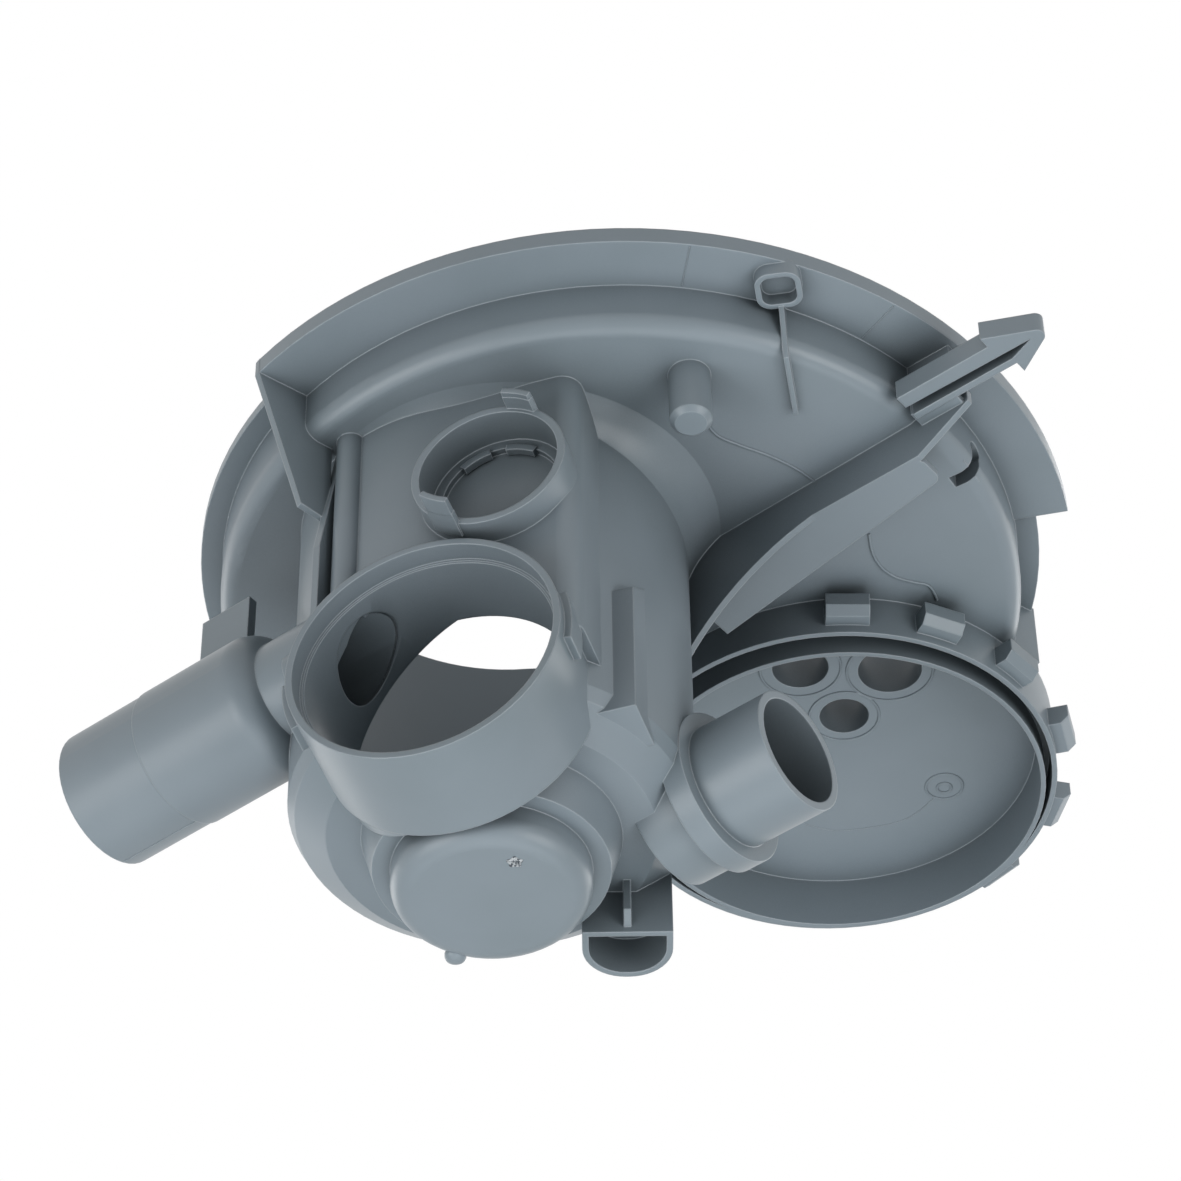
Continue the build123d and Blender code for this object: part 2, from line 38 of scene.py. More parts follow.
# The photograph's view: from below and in front, turned about the upright axis.
VIEW_TURN = math.radians(38.0)
VIEW_RISE = math.radians(44.706)
VIEW_ROLL = math.radians(0.7209)
CAMERA_LENS_MM = 135.04
CAMERA_FILM_MM = 36.0

# The camera's place right, up and back of the part's origin, along its own axes, and its reach, in metres.
CAMERA_PLACE = Vector((-0.008887, -0.006007, 1.32627))
CAMERA_NEAR = 0.01
CAMERA_FAR = 50.0

# Softboxes: name, place along the camera's axes and side, in metres, then watts and colour.
WHITE_LIGHT = (1.0, 1.0, 1.0)
COOL_LIGHT = (0.92, 0.97, 1.0)
SOFTBOXES = (
    ("low_front_softbox", (0.0, -1.1, 1.2), 1.6, 10.0, COOL_LIGHT),
    ("left_softbox", (-1.0, -0.25, 1.0), 0.8, 7.0, WHITE_LIGHT),
    ("right_softbox", (1.0, 0.0, 1.1), 0.8, 7.5, WHITE_LIGHT),
    ("overhead_softbox", (0.2, 0.5, -1.6), 1.0, 11.0, WHITE_LIGHT),
    ("rear_left_softbox", (-1.2, -0.6, -0.9), 0.8, 4.0, WHITE_LIGHT),
    ("rear_right_softbox", (1.2, -0.5, -0.9), 0.8, 4.0, WHITE_LIGHT),
)
LAMP_AIM = Vector((0.0, 0.0, -0.07))

# Surround and floor of the studio, in metres.
WHITE = (1.0, 1.0, 1.0, 1.0)
SURROUND_STRENGTH = 0.28
BACKGROUND_STRENGTH = 1.0
FLOOR_HALF = 30.0
FLOOR_LEVEL = -2.6
FLOOR_PAINT = (0.86, 0.86, 0.86, 1.0)
FLOOR_ROUGHNESS = 0.9
FLOOR_LIFT = 0.5

# Colours of the plastic, as linear values.
PLASTIC_DEEP = (0.214, 0.260, 0.288, 1.0)
PLASTIC_BASE = (0.234, 0.280, 0.314, 1.0)
PLASTIC_PALE = (0.254, 0.300, 0.335, 1.0)
# Painted shade that darkens the plastic in its recesses.
RECESS_SHADE_PAINT = (0.060, 0.073, 0.080, 1.0)
# Painted highlight that lightens the plastic along its edges.
EDGE_HIGHLIGHT_PAINT = (0.40, 0.45, 0.49, 1.0)
TORN_DARK = (0.07, 0.085, 0.10, 1.0)
TORN_PALE = (0.52, 0.55, 0.57, 1.0)

# The moulded finish: clouds in its colour and sheen, waves in its walls, and the mould's fine grain.
# A scale counts the pattern's cells along a metre.
CLOUD_SCALE = 16.0
CLOUD_DETAIL = 4.0
CLOUD_TINTS = ((0.30, PLASTIC_DEEP), (0.50, PLASTIC_BASE), (0.72, PLASTIC_PALE))
CLOUD_SPREAD = (0.3, 0.7)
SHEEN_ROUGHNESS = (0.33, 0.43)
WAVE_SCALE = 48.0
WAVE_DETAIL = 2.0
WAVE_STRENGTH = 0.2
WAVE_HEIGHT = 0.4
GRAIN_SCALE = 1500.0
GRAIN_DETAIL = 2.0
GRAIN_STRENGTH = 0.15
GRAIN_HEIGHT = 0.1
PLASTIC_IOR = 1.49

# Painted shade in the plastic's recesses and painted highlight along its edges.
TONE_SAMPLES = 8
RECESS_REACH = 70.0
RECESS_OPEN = 0.74
RECESS_CLOSED = 0.18
RECESS_SHADE_MOST = 0.80
EDGE_ROUND = 0.7
EDGE_FLAT = 0.985
EDGE_TURNED = 0.80
EDGE_HIGHLIGHT_MOST = 0.85

# The torn finish of the snapped gate.
FLAKE_SCALE = 1400.0
FLAKE_DETAIL = 3.0
FLAKE_TINTS = ((0.42, TORN_DARK), (0.56, TORN_PALE))
FLAKE_STRENGTH = 0.6
FLAKE_HEIGHT = 0.3
TORN_ROUGHNESS = 0.6

# Faces of the part that carry the moulding marks.
BOWL_R = 118.5
DISH_EDGE_Z = -22.0
DISH_FALL = 3.0
DOME_FOOT_Z = -160.0
CHAMBER_ROOF_Z = -19.0
COLLAR_FOOT_Z = -5.6
COLLAR_IN_R = 119.5
COLLAR_OUT_R = 133.8
TUBE_Y = -92.4
TUBE_Z = -91.7
TUBE_R = 20.4

# Lines in plan that the flowing plastic left: on the dish, from the pin, and on the chamber's roof.
DISH_CURL = ((79.3, 15.4), (75.7, 21.9), (74.1, 28.6), (75.0, 34.8),
             (77.8, 39.9), (80.2, 43.6), (79.7, 47.4), (78.6, 50.4))
PIN_CURL = ((69.7, -50.8), (68.9, -43.6), (71.6, -36.4), (75.7, -27.6), (78.8, -17.5), (79.9, -7.4))
ROOF_CURL = ((-14.8, 104.3), (-8.5, 116.1), (2.5, 123.2), (13.7, 126.9), (25.4, 124.4))

# Rings on the chamber's roof: centre and radius.
OUTLET_RINGS = ((25.7, 76.8, 10.6), (48.3, 69.2, 13.0), (27.9, 51.5, 12.2))
EJECTOR_RINGS = ((31.0, 121.9, 5.7), (30.6, 122.4, 2.2))
RING_STEPS = 48

# Joint lines of the mould, by their degrees round the part's axis and round the suction tube's.
COLLAR_JOINT_TURNS = (-43.5, -16.8)
TUBE_JOINT_TURNS = (112.0, 292.0)
TUBE_JOINT_FROM_X = -113.5
TUBE_JOINT_TO_X = -62.0

# Round beads that the flow and joint lines are made of.
RIDGE_BEAD_R = 0.42
JOINT_BEAD_R = 0.22
BEAD_SIDES = 8
BEAD_STEPS = 4

# The snapped gate on the dome; its profile gives shares of its radius and drops below the dome.
GATE_PLACE = (7.8, -58.7)
GATE_R = 2.0
GATE_PROFILE = ((1.0, -0.6), (1.0, 0.15), (0.72, 0.45), (0.5, 0.1), (0.3, 0.5), (0.12, 0.6))
GATE_LOBES = 5
GATE_LOBE_DEPTH = 0.16
GATE_STEPS = 40

# The rounded nub at the dome's edge, which ends level with the dome; its curve is in degrees.
NUB_PLACE = (-30.6, -37.2)
NUB_R = 3.0
NUB_H = 1.6
NUB_ROOT = 1.0
NUB_CURVE = (0.0, 25.0, 50.0, 70.0, 84.0)
NUB_STEPS = 32

# Side sockets on the pot: each mouth's step to the right, how far it stands proud, and its height.
POT_PLACE = (-7.4, -50.0)
POT_R = 56.0
SOCKET_TURN = math.radians(-69.4)
SOCKET_STEPS = 96
PUMP_SOCKET = (1.5, 6.6, -122.2)
SENSOR_SOCKET = (20.0, 8.0, -60.0)

# The wall of the pump's bore inside the pot, with depths behind the mouth, and its suction port.
SLEEVE_IN_R = 35.4
SLEEVE_OUT_R = 36.3
SLEEVE_FROM = 6.2
SLEEVE_TO = 28.0
SLEEVE_LEFT_MORE = 17.0
PORT_DEPTH = 24.0
PORT_TURN = math.radians(137.0)
PORT_HALF_LONG = 12.0
PORT_HALF_TALL = 8.4
PORT_STEPS = 48
PORT_CUT_REACH = 26.0
DUCT_REACH = 18.0
DUCT_WALL = 1.2

# Hooks on the sensor socket's rim and teeth on its ledge: turns in degrees, and reaches ahead of the mouth.
HOOK_IN_R = 21.2
HOOK_OUT_R = 22.9
HOOK_ARC = math.radians(23.0)
HOOK_ROOT = 3.5
HOOK_TURNS_AND_TIPS = ((63.0, 6.2), (236.0, 9.5))
TOOTH_IN_R = 15.4
TOOTH_OUT_R = 17.4
TOOTH_ARC = math.radians(32.0)
TOOTH_FROM = -12.4
TOOTH_TO = -10.2
TOOTH_TURNS = (68.0, 116.0, 205.0, 322.0)
LEAST_ARC_STEPS = 8

# Edges that turn more than this stay crisp.
SHARP_TURN = math.radians(35.0)


def view_axes():
    """Right, up and back directions of the photograph's camera, in the part's frame."""
    turn = Matrix.Rotation(VIEW_TURN, 3, "Z")
    right = turn @ Vector((1, 0, 0))
    up = turn @ Vector((0, -math.sin(VIEW_RISE), math.cos(VIEW_RISE)))
    back = turn @ Vector((0, -math.cos(VIEW_RISE), -math.sin(VIEW_RISE)))
    cos_roll, sin_roll = math.cos(VIEW_ROLL), math.sin(VIEW_ROLL)
    return right * cos_roll - up * sin_roll, right * sin_roll + up * cos_roll, back


def view_point(right_m, up_m, back_m):
    """Point given by distances along the camera's axes from the part's origin."""
    right, up, back = view_axes()
    return right * right_m + up * up_m + back * back_m


def add_camera():
    """Camera at the photograph's viewing angle."""
    right, up, back = view_axes()
    data = bpy.data.cameras.new("photo_camera")
    data.lens = CAMERA_LENS_MM
    data.sensor_width = CAMERA_FILM_MM
    data.sensor_fit = "HORIZONTAL"
    data.clip_start = CAMERA_NEAR
    data.clip_end = CAMERA_FAR
    camera = bpy.data.objects.new("photo_camera", data)
    turned = Matrix((right, up, back)).transposed()
    camera.matrix_world = Matrix.Translation(view_point(*CAMERA_PLACE)) @ turned.to_4x4()
    bpy.context.scene.collection.objects.link(camera)
    bpy.context.scene.camera = camera


def add_lamp(name, place, side, watts, colour):
    """Soft square lamp that faces the middle of the part."""
    data = bpy.data.lights.new(name, "AREA")
    data.shape = "SQUARE"
    data.size = side
    data.energy = watts
    data.color = colour
    lamp = bpy.data.objects.new(name, data)
    stand = view_point(*place)
    aim = (LAMP_AIM - stand).to_track_quat("-Z", "Y")
    lamp.matrix_world = Matrix.Translation(stand) @ aim.to_matrix().to_4x4()
    bpy.context.scene.collection.objects.link(lamp)


def seen_share(tree):
    """1 for rays of the eye, a reflection or a clear wall, and 0 for light that falls on the part."""
    path = tree.nodes.new("ShaderNodeLightPath")
    share = path.outputs["Is Camera Ray"]
    for ray in ("Is Glossy Ray", "Is Transmission Ray"):
        either = tree.nodes.new("ShaderNodeMath")
        either.operation = "MAXIMUM"
        tree.links.new(share, either.inputs[0])
        tree.links.new(path.outputs[ray], either.inputs[1])
        share = either.outputs[0]
    return share


def plain_light(tree, strength):
    """White background light of one strength."""
    node = tree.nodes.new("ShaderNodeBackground")
    node.inputs["Color"].default_value = WHITE
    node.inputs["Strength"].default_value = strength
    return node.outputs[0]


def add_world():
    """Even surround light; the background itself shows white."""
    world = bpy.data.worlds.new("studio_surround")
    world.use_nodes = True
    tree = world.node_tree
    tree.nodes.clear()
    output = tree.nodes.new("ShaderNodeOutputWorld")
    mix = tree.nodes.new("ShaderNodeMixShader")
    tree.links.new(seen_share(tree), mix.inputs[0])
    tree.links.new(plain_light(tree, SURROUND_STRENGTH), mix.inputs[1])
    tree.links.new(plain_light(tree, BACKGROUND_STRENGTH), mix.inputs[2])
    tree.links.new(mix.outputs[0], output.inputs["Surface"])
    bpy.context.scene.world = world


def new_finish(name):
    """New material, with its node tree and its main shader."""
    material = bpy.data.materials.new(name)
    material.use_nodes = True
    tree = material.node_tree
    return material, tree, tree.nodes["Principled BSDF"]


def pale_floor_paint():
    """Matt pale paint that shows nearly white and still takes the part's shadow."""
    material, tree, paint = new_finish("pale_floor")
    paint.inputs["Base Color"].default_value = FLOOR_PAINT
    paint.inputs["Roughness"].default_value = FLOOR_ROUGHNESS
    lift = tree.nodes.new("ShaderNodeMath")
    lift.operation = "MULTIPLY"
    lift.inputs[1].default_value = FLOOR_LIFT
    glow = tree.nodes.new("ShaderNodeEmission")
    both = tree.nodes.new("ShaderNodeAddShader")
    tree.links.new(seen_share(tree), lift.inputs[0])
    tree.links.new(lift.outputs[0], glow.inputs["Strength"])
    tree.links.new(paint.outputs[0], both.inputs[0])
    tree.links.new(glow.outputs[0], both.inputs[1])
    tree.links.new(both.outputs[0], tree.nodes["Material Output"].inputs["Surface"])
    return material


def add_floor():
    """Plain wide floor, far enough below the part for the low lamp to stand above it."""
    half, level = FLOOR_HALF, FLOOR_LEVEL
    corners = [(-half, -half, level), (half, -half, level), (half, half, level), (-half, half, level)]
    mesh = bpy.data.meshes.new("studio_floor")
    mesh.from_pydata(corners, [], [(0, 1, 2, 3)])
    mesh.materials.append(pale_floor_paint())
    floor = bpy.data.objects.new("studio_floor", mesh)
    bpy.context.scene.collection.objects.link(floor)


def noise(tree, scale, detail):
    """Noise pattern on the part's own coordinates."""
    place = tree.nodes.new("ShaderNodeTexCoord")
    node = tree.nodes.new("ShaderNodeTexNoise")
    node.inputs["Scale"].default_value = scale
    node.inputs["Detail"].default_value = detail
    tree.links.new(place.outputs["Object"], node.inputs["Vector"])
    return node.outputs["Fac"]


def bump(tree, pattern, strength, height, normal=None):
    """Relief that a pattern gives, on a normal that is already bent where there is one."""
    node = tree.nodes.new("ShaderNodeBump")
    node.inputs["Strength"].default_value = strength
    node.inputs["Distance"].default_value = height * MM
    tree.links.new(pattern, node.inputs["Height"])
    if normal is not None:
        tree.links.new(normal, node.inputs["Normal"])
    return node.outputs["Normal"]


def tinted(tree, pattern, tints):
    """Colour that follows a pattern through a row of tints, each with its level."""
    node = tree.nodes.new("ShaderNodeValToRGB")
    stops = node.color_ramp.elements
    for stop, (level, colour) in zip(stops, (tints[0], tints[-1])):
        stop.position = level
        stop.color = colour
    for level, colour in tints[1:-1]:
        stops.new(level).color = colour
    tree.links.new(pattern, node.inputs["Fac"])
    return node.outputs["Color"]


def mix_colour(tree, share, first, second):
    """Colour that goes from the first socket to a fixed second colour by a share."""
    node = tree.nodes.new("ShaderNodeMix")
    node.data_type = "RGBA"
    tree.links.new(share, node.inputs["Factor"])
    tree.links.new(first, node.inputs["A"])
    node.inputs["B"].default_value = second
    return node.outputs["Result"]


def graded(tree, value, levels, results):
    """Number that goes from one result to the other as a value goes between two levels."""
    node = tree.nodes.new("ShaderNodeMapRange")
    for name, number in zip(("From Min", "From Max", "To Min", "To Max"), (*levels, *results)):
        node.inputs[name].default_value = number
    tree.links.new(value, node.inputs["Value"])
    return node.outputs["Result"]


def painted_recess_shade(tree, colour):
    """Painted shade: darker plastic in the recesses, where less light reaches."""
    reach = tree.nodes.new("ShaderNodeAmbientOcclusion")
    reach.samples = TONE_SAMPLES
    reach.inputs["Distance"].default_value = RECESS_REACH * MM
    share = graded(tree, reach.outputs["AO"], (RECESS_OPEN, RECESS_CLOSED), (0.0, RECESS_SHADE_MOST))
    return mix_colour(tree, share, colour, RECESS_SHADE_PAINT)


def rounded_edges(tree):
    """Normal of the surface with its edges rounded."""
    node = tree.nodes.new("ShaderNodeBevel")
    node.samples = TONE_SAMPLES
    node.inputs["Radius"].default_value = EDGE_ROUND * MM
    return node.outputs["Normal"]


def painted_edge_highlight(tree, colour, rounded_normal):
    """Painted highlight: paler plastic along edges, where rounded rims catch light."""
    true_normal = tree.nodes.new("ShaderNodeNewGeometry")
    turned = tree.nodes.new("ShaderNodeVectorMath")
    turned.operation = "DOT_PRODUCT"
    tree.links.new(rounded_normal, turned.inputs[0])
    tree.links.new(true_normal.outputs["Normal"], turned.inputs[1])
    share = graded(tree, turned.outputs["Value"], (EDGE_FLAT, EDGE_TURNED), (0.0, EDGE_HIGHLIGHT_MOST))
    return mix_colour(tree, share, colour, EDGE_HIGHLIGHT_PAINT)


def moulded_plastic():
    """Satin polypropylene: clouded blue-grey, with fine eroded grain, uneven walls and soft edges."""
    material, tree, shader = new_finish("blue_grey_plastic")
    rounded = rounded_edges(tree)

    cloud = noise(tree, CLOUD_SCALE, CLOUD_DETAIL)
    # Painted shade: the clouded colour darkens in recesses, where less light reaches.
    recess_shaded = painted_recess_shade(tree, tinted(tree, cloud, CLOUD_TINTS))
    # Painted highlight: the colour turns paler along edges, where rims catch light.
    edge_highlighted = painted_edge_highlight(tree, recess_shaded, rounded)
    sheen = graded(tree, cloud, CLOUD_SPREAD, SHEEN_ROUGHNESS)

    waves = noise(tree, WAVE_SCALE, WAVE_DETAIL)
    uneven = bump(tree, waves, WAVE_STRENGTH, WAVE_HEIGHT, rounded)
    grain = noise(tree, GRAIN_SCALE, GRAIN_DETAIL)
    eroded = bump(tree, grain, GRAIN_STRENGTH, GRAIN_HEIGHT, uneven)

    tree.links.new(edge_highlighted, shader.inputs["Base Color"])
    tree.links.new(sheen, shader.inputs["Roughness"])
    tree.links.new(eroded, shader.inputs["Normal"])
    shader.inputs["IOR"].default_value = PLASTIC_IOR
    return material


def torn_plastic():
    """Whitened, ragged plastic where the runner was snapped off."""
    material, tree, shader = new_finish("snapped_gate_plastic")
    flakes = noise(tree, FLAKE_SCALE, FLAKE_DETAIL)
    ragged = bump(tree, flakes, FLAKE_STRENGTH, FLAKE_HEIGHT)
    tree.links.new(tinted(tree, flakes, FLAKE_TINTS), shader.inputs["Base Color"])
    tree.links.new(ragged, shader.inputs["Normal"])
    shader.inputs["Roughness"].default_value = TORN_ROUGHNESS
    return material


def full_turn(steps):
    """Evenly spaced angles round a circle."""
    return [math.tau * i / steps for i in range(steps)]


def add_skin(shape, rings, hollow):
    """Adds faces along rings of points to a bmesh; a hollow wall ends on its first ring, a solid in caps."""
    loops = [[shape.verts.new(Vector(point) * MM) for point in ring] for ring in rings]
    if hollow:
        loops.append(loops[0])
    else:
        shape.faces.new(loops[0])
        shape.faces.new(loops[-1])
    for near, far in zip(loops, loops[1:]):
        for i in range(len(near)):
            j = (i + 1) % len(near)
            shape.faces.new((near[i], near[j], far[j], far[i]))


def plain_object(name, shape):
    """Object made from a bmesh with its faces turned outwards."""
    bmesh.ops.recalc_face_normals(shape, faces=shape.faces)
    mesh = bpy.data.meshes.new(name)
    shape.to_mesh(mesh)
    shape.free()
    made = bpy.data.objects.new(name, mesh)
    bpy.context.scene.collection.objects.link(made)
    return made


def apply_modifiers(piece):
    """Turns what a piece's modifiers make of it into its plain mesh."""
    made = bpy.data.meshes.new_from_object(piece.evaluated_get(bpy.context.evaluated_depsgraph_get()))
    piece.modifiers.clear()
    piece.data = made


def smooth(mesh):
    """Smooth shading over a whole mesh."""
    for face in mesh.polygons:
        face.use_smooth = True


def fix_to_part(piece):
    """Lets a piece ride on the part's one body."""
    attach(piece, "root")


def finish(piece, material):
    """Gives a piece its material, smooth faces and crisp edges, and fixes it to the part."""
    piece.data.materials.clear()
    piece.data.materials.append(material)
    smooth(piece.data)
    piece.data.set_sharp_from_angle(angle=SHARP_TURN)
    fix_to_part(piece)


def dress_body(material):
    """Gives the moulded body its material."""
    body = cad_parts["sump_body"]
    body.data.materials.clear()
    body.data.materials.append(material)


def dish_path(points):
    """Points in plan laid on the dish's underside, which falls towards its middle."""
    falls = [DISH_FALL * (1 - math.hypot(x, y) / BOWL_R) for x, y in points]
    return [(x, y, DISH_EDGE_Z - fall) for (x, y), fall in zip(points, falls)]


def roof_path(points):
    """Points in plan laid on the chamber's roof."""
    return [(x, y, CHAMBER_ROOF_Z) for x, y in points]


def roof_ring(x, y, radius):
    """Closed circle of points on the chamber's roof."""
    return roof_path([(x + radius * math.cos(t), y + radius * math.sin(t)) for t in full_turn(RING_STEPS)])


def collar_path(degrees):
    """Line across the collar's foot at an angle round the part's axis."""
    turn = math.radians(degrees)
    return [(r * math.cos(turn), r * math.sin(turn), COLLAR_FOOT_Z) for r in (COLLAR_IN_R, COLLAR_OUT_R)]


def tube_path(degrees):
    """Line along the suction tube at an angle round it."""
    turn = math.radians(degrees)
    y = TUBE_Y + TUBE_R * math.cos(turn)
    z = TUBE_Z + TUBE_R * math.sin(turn)
    return [(TUBE_JOINT_FROM_X, y, z), (TUBE_JOINT_TO_X, y, z)]


def bead_tree():
    """Geometry Nodes that sweep a fine round bead along the edges of a mesh."""
    tree = bpy.data.node_groups.new("mould_line_bead", "GeometryNodeTree")
    tree.interface.new_socket("Geometry", in_out="INPUT", socket_type="NodeSocketGeometry")
    width = tree.interface.new_socket("Bead Radius", in_out="INPUT", socket_type="NodeSocketFloat")
    coating = tree.interface.new_socket("Finish", in_out="INPUT", socket_type="NodeSocketMaterial")
    tree.interface.new_socket("Geometry", in_out="OUTPUT", socket_type="NodeSocketGeometry")
    nodes, links = tree.nodes, tree.links
    start = nodes.new("NodeGroupInput")
    end = nodes.new("NodeGroupOutput")
    line = nodes.new("GeometryNodeMeshToCurve")
    bent = nodes.new("GeometryNodeCurveSplineType")
    bent.spline_type = "CATMULL_ROM"
    fine = nodes.new("GeometryNodeSetSplineResolution")
    fine.inputs["Resolution"].default_value = BEAD_STEPS
    profile = nodes.new("GeometryNodeCurvePrimitiveCircle")
    profile.inputs["Resolution"].default_value = BEAD_SIDES
    sweep = nodes.new("GeometryNodeCurveToMesh")
    sweep.inputs["Fill Caps"].default_value = True
    real = nodes.new("GeometryNodeRealizeInstances")
    coat = nodes.new("GeometryNodeSetMaterial")
    links.new(start.outputs["Geometry"], line.inputs["Mesh"])
    links.new(start.outputs["Bead Radius"], profile.inputs["Radius"])
    links.new(line.outputs["Curve"], bent.inputs["Curve"])
    links.new(bent.outputs["Curve"], fine.inputs["Geometry"])
    links.new(fine.outputs["Geometry"], sweep.inputs["Curve"])
    links.new(profile.outputs["Curve"], sweep.inputs["Profile Curve"])
    links.new(sweep.outputs["Mesh"], real.inputs["Geometry"])
    links.new(real.outputs["Geometry"], coat.inputs["Geometry"])
    links.new(start.outputs["Finish"], coat.inputs["Material"])
    links.new(coat.outputs["Geometry"], end.inputs["Geometry"])
    return tree, width.identifier, coating.identifier


def add_beads(name, bead, paths, rings, bead_r, material):
    """Fine raised beads along open paths and closed rings of points."""
    points, edges = [], []
    for path in paths + rings:
        first = len(points)
        last = first + len(path) - 1
        points += [tuple(v * MM for v in point) for point in path]
        edges += [(i, i + 1) for i in range(first, last)]
        if path in rings:
            edges.append((last, first))
    mesh = bpy.data.meshes.new(name + "_paths")
    mesh.from_pydata(points, edges, [])
    lines = bpy.data.objects.new(name, mesh)
    bpy.context.scene.collection.objects.link(lines)
    tree, width, coating = bead
    modifier = lines.modifiers.new("bead", "NODES")
    modifier.node_group = tree
    modifier[width] = bead_r * MM
    modifier[coating] = material
    apply_modifiers(lines)
    smooth(lines.data)
    fix_to_part(lines)


def add_mould_lines(material):
    """Flow lines and pin rings on the dish and the chamber's roof, and the joint lines of the mould."""
    bead = bead_tree()
    dish_curls = [dish_path(DISH_CURL), dish_path(PIN_CURL)]
    roof_rings = [roof_ring(*ring) for ring in OUTLET_RINGS + EJECTOR_RINGS]
    add_beads("flow_ridges", bead, dish_curls, roof_rings, RIDGE_BEAD_R, material)
    joints = [roof_path(ROOF_CURL)]
    joints += [collar_path(turn) for turn in COLLAR_JOINT_TURNS]
    joints += [tube_path(turn) for turn in TUBE_JOINT_TURNS]
    add_beads("joint_lines", bead, joints, [], JOINT_BEAD_R, material)


def turned_form(place, level, outline, steps, lobes=0, lobe_depth=0.0):
    """Small turned form that hangs from a level, as a bmesh; lobes make its outline ragged."""
    rings = []
    for radius, drop in outline:
        ring = []
        for turn in full_turn(steps):
            reach = radius * (1 + lobe_depth * math.sin(lobes * turn))
            ring.append((place[0] + reach * math.cos(turn), place[1] + reach * math.sin(turn), level - drop))
        rings.append(ring)
    shape = bmesh.new()
    add_skin(shape, rings, hollow=False)
    return shape


def add_gate_scar():
    """Ragged scar on the dome where the runner was snapped off."""
    outline = [(GATE_R * share, drop) for share, drop in GATE_PROFILE]
    shape = turned_form(GATE_PLACE, DOME_FOOT_Z, outline, GATE_STEPS, GATE_LOBES, GATE_LOBE_DEPTH)
    finish(plain_object("gate_scar", shape), torn_plastic())


def add_locating_nub(material):
    """Rounded nub at the dome's edge, with its root sunk in the plastic."""
    turns = [math.radians(degrees) for degrees in NUB_CURVE]
    outline = [(NUB_R, -NUB_ROOT)] + [(NUB_R * math.cos(t), NUB_H * math.sin(t)) for t in turns]
    shape = turned_form(NUB_PLACE, DOME_FOOT_Z + NUB_H, outline, NUB_STEPS)
    finish(plain_object("locating_nub", shape), material)


def socket_point(socket, radius, turn, ahead):
    """Point round a side socket's axis, ahead of its mouth or behind it."""
    side, proud, z = socket
    out = Vector((math.cos(SOCKET_TURN), math.sin(SOCKET_TURN), 0))
    across = Vector((-out.y, out.x, 0))
    mouth = Vector((*POT_PLACE, z)) + out * (POT_R + proud) + across * side
    lift = Vector((0, 0, radius * math.sin(turn)))
    return mouth + out * ahead + across * (radius * math.cos(turn)) + lift


def sleeve_end(turn):
    """Depth of the sleeve's inner end, which reaches further on the left, past the port."""
    return SLEEVE_TO + SLEEVE_LEFT_MORE * max(0.0, -math.cos(turn))


def sleeve_wall():
    """Round wall of the pump's bore inside the pot, as a bmesh."""
    turns = full_turn(SOCKET_STEPS)
    outer_ends = [SLEEVE_FROM] * SOCKET_STEPS
    inner_ends = [sleeve_end(turn) for turn in turns]
    corners = ((SLEEVE_IN_R, outer_ends), (SLEEVE_IN_R, inner_ends),
               (SLEEVE_OUT_R, inner_ends), (SLEEVE_OUT_R, outer_ends))
    rings = [[socket_point(PUMP_SOCKET, radius, turn, -depth) for turn, depth in zip(turns, depths)]
             for radius, depths in corners]
    shape = bmesh.new()
    add_skin(shape, rings, hollow=True)
    return shape


def sleeve_wall_x(y, z):
    """Where a line along X meets the left side of the sleeve's wall."""
    mouth = socket_point(PUMP_SOCKET, 0.0, 0.0, 0.0)
    radius = (SLEEVE_IN_R + SLEEVE_OUT_R) / 2
    across = -math.sqrt(max(radius ** 2 - (z - mouth.z) ** 2, 0.0))
    return mouth.x + (across - (y - mouth.y) * math.cos(SOCKET_TURN)) / -math.sin(SOCKET_TURN)


def port_oval(middle, grow):
    """Points of the suction port's oval, square to X and grown by a distance."""
    long, tall = PORT_HALF_LONG + grow, PORT_HALF_TALL + grow
    return [middle + Vector((0, long * math.cos(t), tall * math.sin(t))) for t in full_turn(PORT_STEPS)]


def port_prism(middle):
    """Oval prism along X that cuts the port, as a bmesh."""
    reach = Vector((PORT_CUT_REACH, 0, 0))
    oval = port_oval(middle, 0.0)
    shape = bmesh.new()
    add_skin(shape, [[point - reach for point in oval], [point + reach for point in oval]], hollow=False)
    return shape


def port_duct(middle):
    """Short oval duct from the sleeve's port to the suction tube's neck, as a bmesh."""
    inner, outer = port_oval(middle, 0.0), port_oval(middle, DUCT_WALL)
    at_wall = [[(sleeve_wall_x(p.y, p.z), p.y, p.z) for p in oval] for oval in (inner, outer)]
    at_neck = [[(middle.x - DUCT_REACH, p.y, p.z) for p in oval] for oval in (inner, outer)]
    shape = bmesh.new()
    add_skin(shape, [at_wall[0], at_neck[0], at_neck[1], at_wall[1]], hollow=True)
    return shape


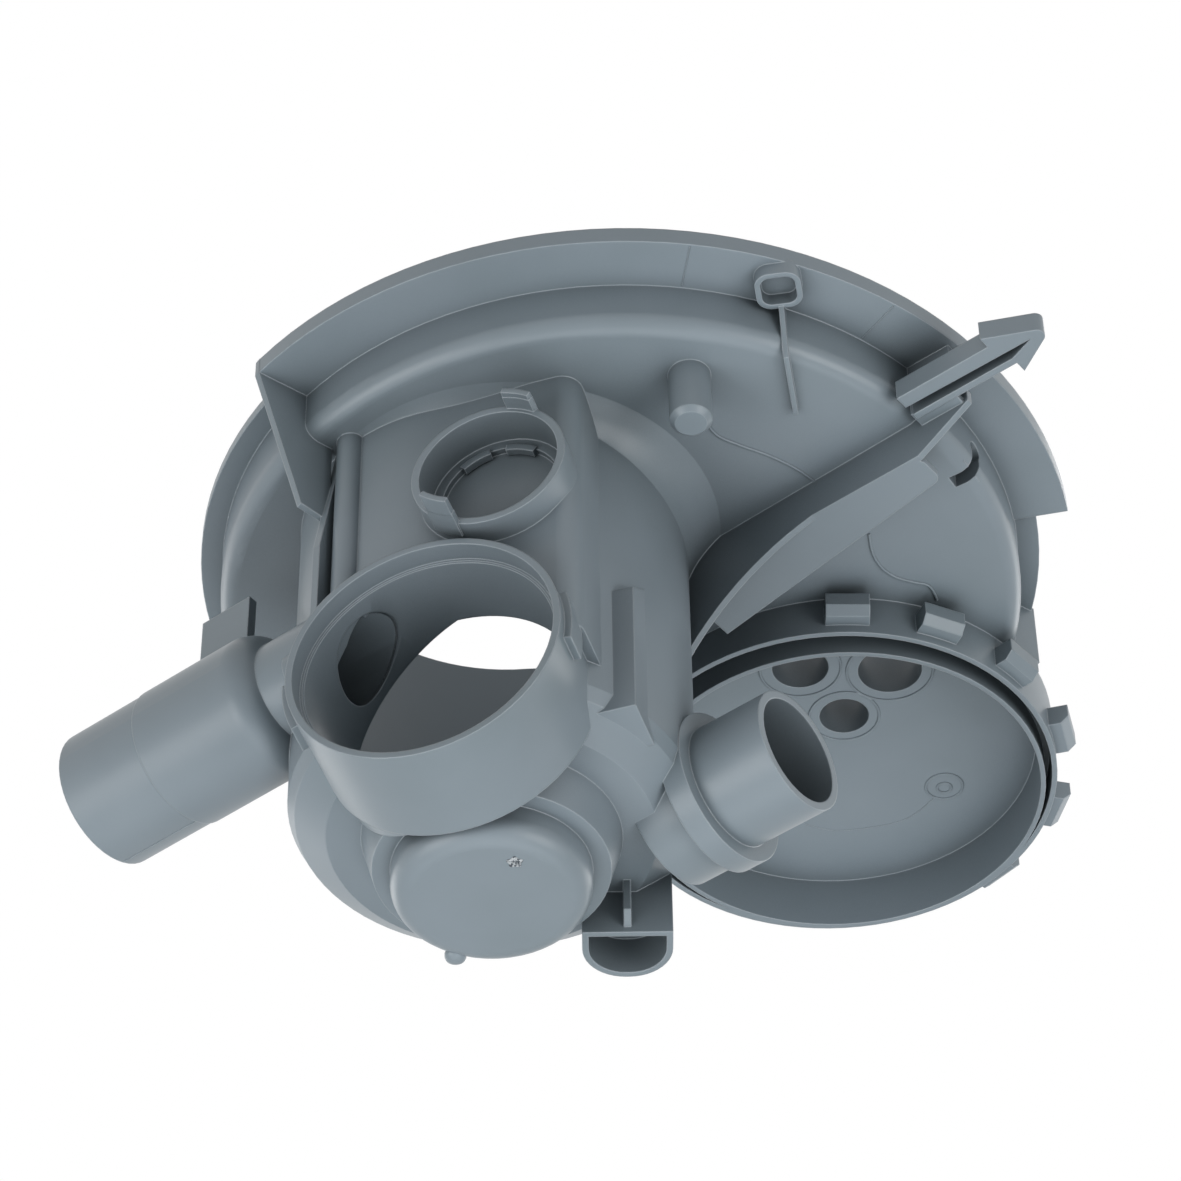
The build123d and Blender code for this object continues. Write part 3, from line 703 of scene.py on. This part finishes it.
def cut_port(sleeve, middle):
    """Cuts the suction port through the sleeve."""
    port = plain_object("suction_port_cut", port_prism(middle))
    cut = sleeve.modifiers.new("port", "BOOLEAN")
    cut.operation = "DIFFERENCE"
    cut.solver = "EXACT"
    cut.object = port
    apply_modifiers(sleeve)
    bpy.data.objects.remove(port)


def add_pump_sleeve(material):
    """Wall of the pump's bore inside the pot, with the suction port and its duct on the left."""
    middle = socket_point(PUMP_SOCKET, SLEEVE_IN_R, PORT_TURN, -PORT_DEPTH)
    sleeve = plain_object("pump_sleeve", sleeve_wall())
    cut_port(sleeve, middle)
    finish(sleeve, material)
    finish(plain_object("suction_port_duct", port_duct(middle)), material)


def add_sensor_block(shape, radii, reaches, degrees, arc):
    """Adds a curved block round the sensor socket's axis to a bmesh."""
    near, far = reaches
    corners = [(radii[0], near), (radii[1], near), (radii[1], far), (radii[0], far)]
    steps = max(LEAST_ARC_STEPS, round(SOCKET_STEPS * arc / math.tau))
    first = math.radians(degrees) - arc / 2
    turns = [first + arc * i / steps for i in range(steps + 1)]
    sections = [[socket_point(SENSOR_SOCKET, radius, turn, ahead) for radius, ahead in corners]
                for turn in turns]
    add_skin(shape, sections, hollow=False)


def add_sensor_forms(material):
    """Hook tips ahead of the sensor socket's rim, and the teeth on its ledge."""
    hooks = bmesh.new()
    for turn, tip in HOOK_TURNS_AND_TIPS:
        add_sensor_block(hooks, (HOOK_IN_R, HOOK_OUT_R), (HOOK_ROOT, tip), turn, HOOK_ARC)
    finish(plain_object("sensor_hook_tips", hooks), material)
    teeth = bmesh.new()
    for turn in TOOTH_TURNS:
        add_sensor_block(teeth, (TOOTH_IN_R, TOOTH_OUT_R), (TOOTH_FROM, TOOTH_TO), turn, TOOTH_ARC)
    finish(plain_object("sensor_ledge_teeth", teeth), material)


plastic = moulded_plastic()
dress_body(plastic)
add_mould_lines(plastic)
add_gate_scar()
add_pump_sleeve(plastic)
add_sensor_forms(plastic)
add_locating_nub(plastic)

add_camera()
add_world()
for softbox in SOFTBOXES:
    add_lamp(*softbox)
add_floor()
bpy.context.scene.view_settings.view_transform = "Standard"
